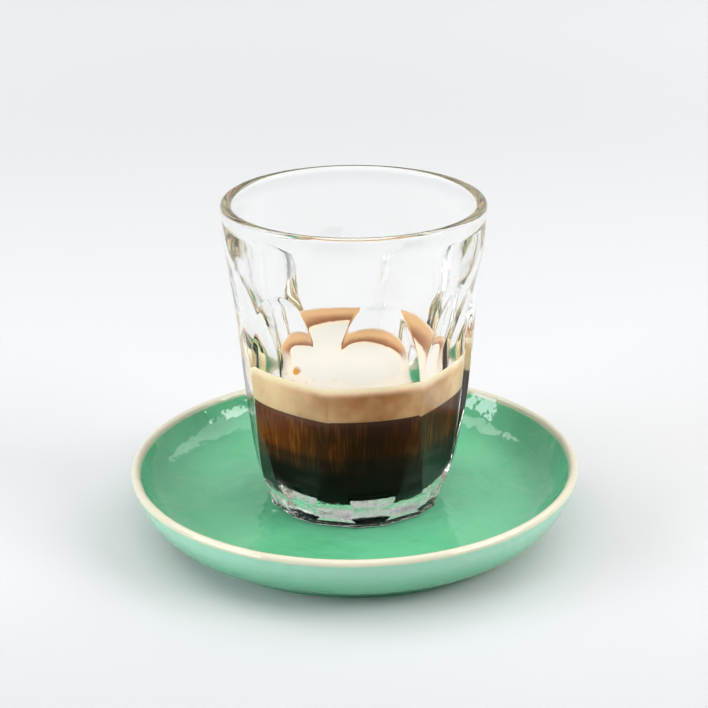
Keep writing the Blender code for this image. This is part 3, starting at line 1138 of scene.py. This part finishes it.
@dataclass
class Saucer:
    """The turned saucer: flat well, low curved wall, round cream lip and foot ring.

    The inner wall's stations are pairs of radius and height, and the outer wall's are pairs of
    height and radius. The lip is an arc between them.
    """

    segments: int = 288
    well: float = 8.0 * MM
    lip_centre: Span = (61.8 * MM, 17.1 * MM)
    lip_radius: float = 1.25 * MM
    lip_arc: Span = (math.radians(155.0), math.radians(-20.0))
    sway: Span = (0.010, 0.008)
    # Heights over which the outer wall is painted paler, as painted light.
    painted_bounce_span: Span = (6.0 * MM, 16.5 * MM)
    foot_outer: float = 49.0 * MM
    foot_inner: float = 45.8 * MM
    foot_depth: float = 2.0 * MM
    foot_draft: float = 0.6 * MM
    edge_round: float = 0.35 * MM
    inner_wall: Stations = in_mm(
        (44.0, 8.0), (48.5, 8.15), (52.6, 8.85), (56.3, 10.75), (58.7, 13.6), (60.67, 17.63)
    )
    outer_wall: Stations = in_mm(
        (2.0, 49.6), (2.7, 52.0), (4.1, 54.6), (7.7, 58.6), (12.6, 61.5), (16.67, 62.97)
    )

    def inner_section(self) -> Floats:
        """Points of radius and height from the well's middle to the lip."""
        well_radii = np.linspace(3.0 * MM, self.inner_wall[0][0], 12)[:-1]
        wall_radii = bands((self.inner_wall[0][0], self.inner_wall[-1][0], 40))[:-1]
        radii = np.concatenate([well_radii, wall_radii])
        heights = [np.full_like(well_radii, self.well), radius_at(self.inner_wall, wall_radii)]
        return np.stack([radii, np.concatenate(heights)], axis=-1)

    def lip_section(self) -> Floats:
        """Points of radius and height over the lip, on its arc."""
        bend = np.linspace(*self.lip_arc, 17)[:, None]
        return self.lip_centre + self.lip_radius * np.concatenate([np.cos(bend), np.sin(bend)], 1)

    def outer_section(self, lip_end: float) -> Floats:
        """Points of radius and height from the lip's end down to the foot's inside.

        Args:
            lip_end: The height at which the lip ends.

        Returns:
            The points.
        """
        levels = bands((lip_end, self.foot_depth, 30))[1:]
        wall = np.stack([radius_at(self.outer_wall, levels), levels], axis=-1)
        under = self.foot_depth + self.foot_draft
        foot = [
            (self.foot_outer + 0.1 * self.foot_draft, self.edge_round),
            (self.foot_outer - self.edge_round, 0.0),
            (self.foot_inner + self.edge_round, 0.0),
            (self.foot_inner, self.edge_round),
            (self.foot_inner - self.foot_draft, self.foot_depth),
            (self.foot_inner - 3.0 * self.foot_draft, under),
            (20.0 * MM, under),
        ]
        return np.concatenate([wall, foot])

    def section(self) -> tuple[Floats, Floats, Floats]:
        """The half section from the well's middle, over the lip and down to the foot's inside.

        Returns:
            Points of radius and height, and two marks from 0 to 1 for each: how much it belongs
            to the lip, and how much painted light makes the outside below it paler.
        """
        inner, lip = self.inner_section(), self.lip_section()
        points = np.concatenate([inner, lip, self.outer_section(float(lip[-1, 1]))])
        away = off_axis(points, self.lip_centre)
        lipped = 1.0 - smooth_step(self.lip_radius * 0.98, self.lip_radius * 1.5, away)
        lipped *= smooth_step(-0.6 * MM, 0.5 * MM, points[:, 1] - self.lip_centre[1])
        outside = np.arange(len(points)) >= len(inner)
        return points, lipped, smooth_step(*self.painted_bounce_span, points[:, 1]) * outside

    def sway_height(self, points: Floats) -> Floats:
        """The lip's slight tilt, as thrown saucers have: it grows from the foot outwards."""
        grown = smooth_step(self.foot_outer + 1.0 * MM, self.lip_centre[0], off_axis(points))
        return grown * (self.sway[0] * points[..., 0] + self.sway[1] * points[..., 1])

    def build(self) -> Piece:
        """Makes the saucer's skin."""
        points, lipped, painted_bounce = self.section()
        rings = place(points[:, :1], points[:, 1:], azimuths(self.segments))
        rings[..., 2] += self.sway_height(rings)
        round_all = np.ones(self.segments)
        # The lip mark, and the mark of painted light on the outer wall.
        marks = {"lip": lipped[:, None] * round_all, "painted_bounce": painted_bounce[:, None] * round_all}
        first, last = (0.0, 0.0, self.well), (0.0, 0.0, float(points[-1, 1]))
        return closed_surface("saucer_dish", rings, first, last, marks)

    def dress(self, finish: Glaze) -> None:
        """Builds the saucer and hands it over."""
        hand_over(self.build(), finish.material(), "saucer_glaze", "saucer")


@dataclass(frozen=True)
class Panel:
    """One soft light panel on a sphere round its target: angles in degrees, power in watts."""

    name: str
    azimuth: float
    elevation: float
    distance: float
    width: float
    height: float
    power: float
    color: Color = (1.0, 1.0, 1.0)

    def add(self, target: Vector) -> None:
        """Adds the panel at its place, turned to the target."""
        light = bpy.data.lights.new(self.name, "AREA")
        light.shape = "RECTANGLE"
        light.size, light.size_y = self.width, self.height
        light.energy = self.power
        light.color = self.color
        item = bpy.data.objects.new(self.name, light)
        turn, rise = math.radians(self.azimuth), math.radians(self.elevation)
        across = math.cos(rise)
        away = Vector((math.sin(turn) * across, -math.cos(turn) * across, math.sin(rise)))
        item.location = target + away * self.distance
        item.rotation_euler = away.to_track_quat("Z", "Y").to_euler()
        bpy.context.scene.collection.objects.link(item)


@dataclass
class Studio:
    """The pale floor, the soft surroundings and the light panels."""

    floor_size: float = 8.0
    top: Color = (0.95, 0.95, 0.95)
    back: Color = (0.935, 0.935, 0.935)
    front: Color = (0.44, 0.51, 0.55)
    strength: float = 0.66
    target: Triple = (0.0, 0.0, 40.0 * MM)
    panels: tuple[Panel, ...] = (
        Panel("overhead", -20.0, 80.0, 0.9, 0.6, 0.6, 1.4, (1.0, 0.995, 0.985)),
        Panel("side_left", -66.0, 22.0, 1.3, 0.9, 0.5, 12.5, (0.90, 0.97, 1.0)),
        Panel("side_right", 68.0, 32.0, 1.3, 0.8, 0.5, 10.5, (1.0, 0.98, 0.965)),
        Panel("window_left", -108.0, 48.0, 1.7, 1.0, 0.8, 8.0, (1.0, 0.985, 0.965)),
        Panel("window_right", 112.0, 47.0, 1.6, 1.7, 1.1, 11.5, (0.97, 0.985, 1.0)),
    )

    def build_floor(self) -> None:
        """Makes the floor."""
        bpy.ops.mesh.primitive_plane_add(size=self.floor_size)
        floor = bpy.context.object
        floor.name = "floor"
        floor.data.materials.append(FloorFinish().material())

    def build_world(self) -> None:
        """Makes surroundings that are bright behind and above and dimmer in front."""
        world = bpy.data.worlds.new("studio")
        world.use_nodes = True
        bpy.context.scene.world = world
        tree = Tree(world.node_tree)
        way = tree.add("ShaderNodeTexCoord").outputs["Generated"]
        behind = tree.span(tree.part(way, "Y"), -0.75, -0.15)
        above = tree.span(tree.part(way, "Z"), 0.5, 0.9)
        color = tree.mix(above, tree.mix(behind, self.front, self.back), self.top)
        background = world.node_tree.nodes["Background"]
        tree.feed(background.inputs["Color"], color)
        tree.feed(background.inputs["Strength"], self.strength)

    def build(self) -> None:
        """Makes the whole studio."""
        self.build_floor()
        self.build_world()
        for panel in self.panels:
            panel.add(Vector(self.target))


@dataclass(frozen=True)
class ViewPoint:
    """The camera at the photograph's viewing angle."""

    place: Triple = (-0.05 * MM, -485.5 * MM, 237.0 * MM)
    down: float = math.radians(21.07)
    roll: float = math.radians(-0.2)
    lens: float = 95.24
    sensor: float = 36.0

    def build(self) -> None:
        """Adds the camera and makes it the scene's own."""
        data = bpy.data.cameras.new("camera")
        data.lens = self.lens
        data.sensor_width = self.sensor
        data.clip_start = 10.0 * MM
        camera = bpy.data.objects.new("camera", data)
        tilt = Euler((math.pi / 2.0 - self.down, 0.0, 0.0)).to_matrix().to_4x4()
        spin = Matrix.Rotation(self.roll, 4, "Z")
        camera.matrix_world = Matrix.Translation(self.place) @ tilt @ spin
        bpy.context.scene.collection.objects.link(camera)
        bpy.context.scene.camera = camera


def main() -> None:
    """Builds the camera, the studio and every piece, in that order."""
    logging.basicConfig(level=logging.INFO, format="%(name)s: %(message)s")
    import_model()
    scene = bpy.context.scene
    scene.view_settings.view_transform = "Standard"
    scene.cycles.max_bounces = LIGHT_BOUNCES
    scene.cycles.transmission_bounces = LIGHT_BOUNCES
    scene.cycles.glossy_bounces = LIGHT_BOUNCES
    ViewPoint().build()
    Studio().build()
    low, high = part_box("glass")
    tumbler = Tumbler(base=low.z, height=high.z - low.z)
    tumbler.dress(ClearGlass())
    Drink(tumbler).dress(CoffeeFinish(), CremaFinish())
    Saucer().dress(Glaze())


if __name__ == "__main__":
    main()
